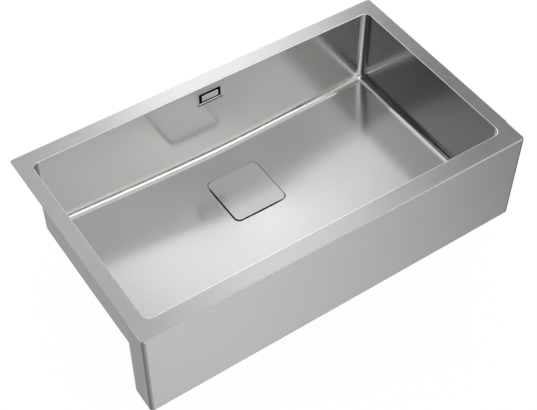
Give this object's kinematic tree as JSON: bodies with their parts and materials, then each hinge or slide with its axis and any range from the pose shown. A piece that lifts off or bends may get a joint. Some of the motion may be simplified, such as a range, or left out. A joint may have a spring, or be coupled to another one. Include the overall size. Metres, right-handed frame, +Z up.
{
  "type": "apron front kitchen sink",
  "caption": "Single-bowl stainless kitchen sink with a flat apron front and short returns, a square covered waste with lift-out basket, a rectangular overflow and clips under its rim.",
  "frame": {"origin": "centre of the waste outlet's mouth, where the trap screws on", "axes": "+X to the right along the apron, +Y to the back of the sink, +Z up along the waste's axis"},
  "size_m": [0.795, 0.466, 0.294],
  "materials": {
    "deck_apron": "satin brushed stainless",
    "bowl": "satin brushed stainless",
    "waste_cover": "fine brushed stainless",
    "overflow_cover": "fine brushed stainless",
    "strainer_body": "bright pressed stainless",
    "basket": "bright pressed stainless",
    "fittings": "plain stainless fittings",
    "plastic": "matt off-white moulded polypropylene",
    "rubber": "matt black rubber",
    "pads": "dark grey sound-deadening rubber sheet",
    "brass": "plain turned brass"
  },
  "bodies": {
    "sink": {"deck_apron": "deck_apron", "rim_seal": "rubber", "bowl": "bowl", "floor_pad_left": "pads", "floor_pad_right": "pads", "floor_pad_front": "pads", "bowl_front_pad": "pads", "apron_pad": "pads", "back_pad_left": "pads", "back_pad_right": "pads", "waste_body": "plastic", "waste_gasket": "rubber", "strainer_gasket": "rubber", "strainer_body": "strainer_body", "screw_insert": "brass", "waste_screw": "fittings", "overflow_head": "plastic", "overflow_gasket": "rubber", "overflow_studs": "fittings", "overflow_nuts": "fittings", "overflow_pipe": "plastic", "overflow_top_seal": "rubber", "overflow_top_nut": "plastic", "overflow_bottom_seal": "rubber", "overflow_bottom_nut": "plastic", "clip_brackets": "fittings", "clip_screws": "fittings"},
    "basket": {"basket": "basket", "basket_post": "fittings", "basket_nut": "fittings", "basket_seal": "rubber"},
    "waste_cover": {"waste_cover": "waste_cover", "cover_feet": "rubber"},
    "overflow_cover": {"overflow_cover": "overflow_cover"},
    "clip_nut_left_front": {"clip_nut_left_front": "fittings"},
    "clip_claw_left_front": {"clip_claw_left_front": "fittings"},
    "clip_nut_left_rear": {"clip_nut_left_rear": "fittings"},
    "clip_claw_left_rear": {"clip_claw_left_rear": "fittings"},
    "clip_nut_right_front": {"clip_nut_right_front": "fittings"},
    "clip_claw_right_front": {"clip_claw_right_front": "fittings"},
    "clip_nut_right_rear": {"clip_nut_right_rear": "fittings"},
    "clip_claw_right_rear": {"clip_claw_right_rear": "fittings"},
    "clip_nut_back_left": {"clip_nut_back_left": "fittings"},
    "clip_claw_back_left": {"clip_claw_back_left": "fittings"},
    "clip_nut_back_right": {"clip_nut_back_right": "fittings"},
    "clip_claw_back_right": {"clip_claw_back_right": "fittings"}
  },
  "joints": [
    {"name": "basket_lift", "type": "slide", "parent": "sink", "child": "basket", "axis": [0, 0, 1], "range_m": [0, 0.12]},
    {"name": "cover_lift", "type": "slide", "parent": "basket", "child": "waste_cover", "axis": [0, 0, 1], "range_m": [0, 0.08]},
    {"name": "overflow_cover_pull", "type": "slide", "parent": "sink", "child": "overflow_cover", "axis": [0, -1, 0], "range_m": [0, 0.02]},
    {"name": "clip_left_front_climb", "type": "slide", "parent": "sink", "child": "clip_nut_left_front", "axis": [0, 0, 1], "range_m": [0, 0.018]},
    {"name": "clip_left_front_swing", "type": "hinge", "parent": "clip_nut_left_front", "child": "clip_claw_left_front", "pos_m": [-0.3795, -0.205, 0.2553], "axis": [0, 0, 1], "range_deg": [0, 90]},
    {"name": "clip_left_rear_climb", "type": "slide", "parent": "sink", "child": "clip_nut_left_rear", "axis": [0, 0, 1], "range_m": [0, 0.018]},
    {"name": "clip_left_rear_swing", "type": "hinge", "parent": "clip_nut_left_rear", "child": "clip_claw_left_rear", "pos_m": [-0.3795, 0.048, 0.2553], "axis": [0, 0, -1], "range_deg": [0, 90]},
    {"name": "clip_right_front_climb", "type": "slide", "parent": "sink", "child": "clip_nut_right_front", "axis": [0, 0, 1], "range_m": [0, 0.018]},
    {"name": "clip_right_front_swing", "type": "hinge", "parent": "clip_nut_right_front", "child": "clip_claw_right_front", "pos_m": [0.3795, -0.205, 0.2553], "axis": [0, 0, -1], "range_deg": [0, 90]},
    {"name": "clip_right_rear_climb", "type": "slide", "parent": "sink", "child": "clip_nut_right_rear", "axis": [0, 0, 1], "range_m": [0, 0.018]},
    {"name": "clip_right_rear_swing", "type": "hinge", "parent": "clip_nut_right_rear", "child": "clip_claw_right_rear", "pos_m": [0.3795, 0.048, 0.2553], "axis": [0, 0, 1], "range_deg": [0, 90]},
    {"name": "clip_back_left_climb", "type": "slide", "parent": "sink", "child": "clip_nut_back_left", "axis": [0, 0, 1], "range_m": [0, 0.018]},
    {"name": "clip_back_left_swing", "type": "hinge", "parent": "clip_nut_back_left", "child": "clip_claw_back_left", "pos_m": [-0.22, 0.131, 0.2553], "axis": [0, 0, 1], "range_deg": [0, 90]},
    {"name": "clip_back_right_climb", "type": "slide", "parent": "sink", "child": "clip_nut_back_right", "axis": [0, 0, 1], "range_m": [0, 0.018]},
    {"name": "clip_back_right_swing", "type": "hinge", "parent": "clip_nut_back_right", "child": "clip_claw_back_right", "pos_m": [0.22, 0.131, 0.2553], "axis": [0, 0, -1], "range_deg": [0, 90]}
  ]
}
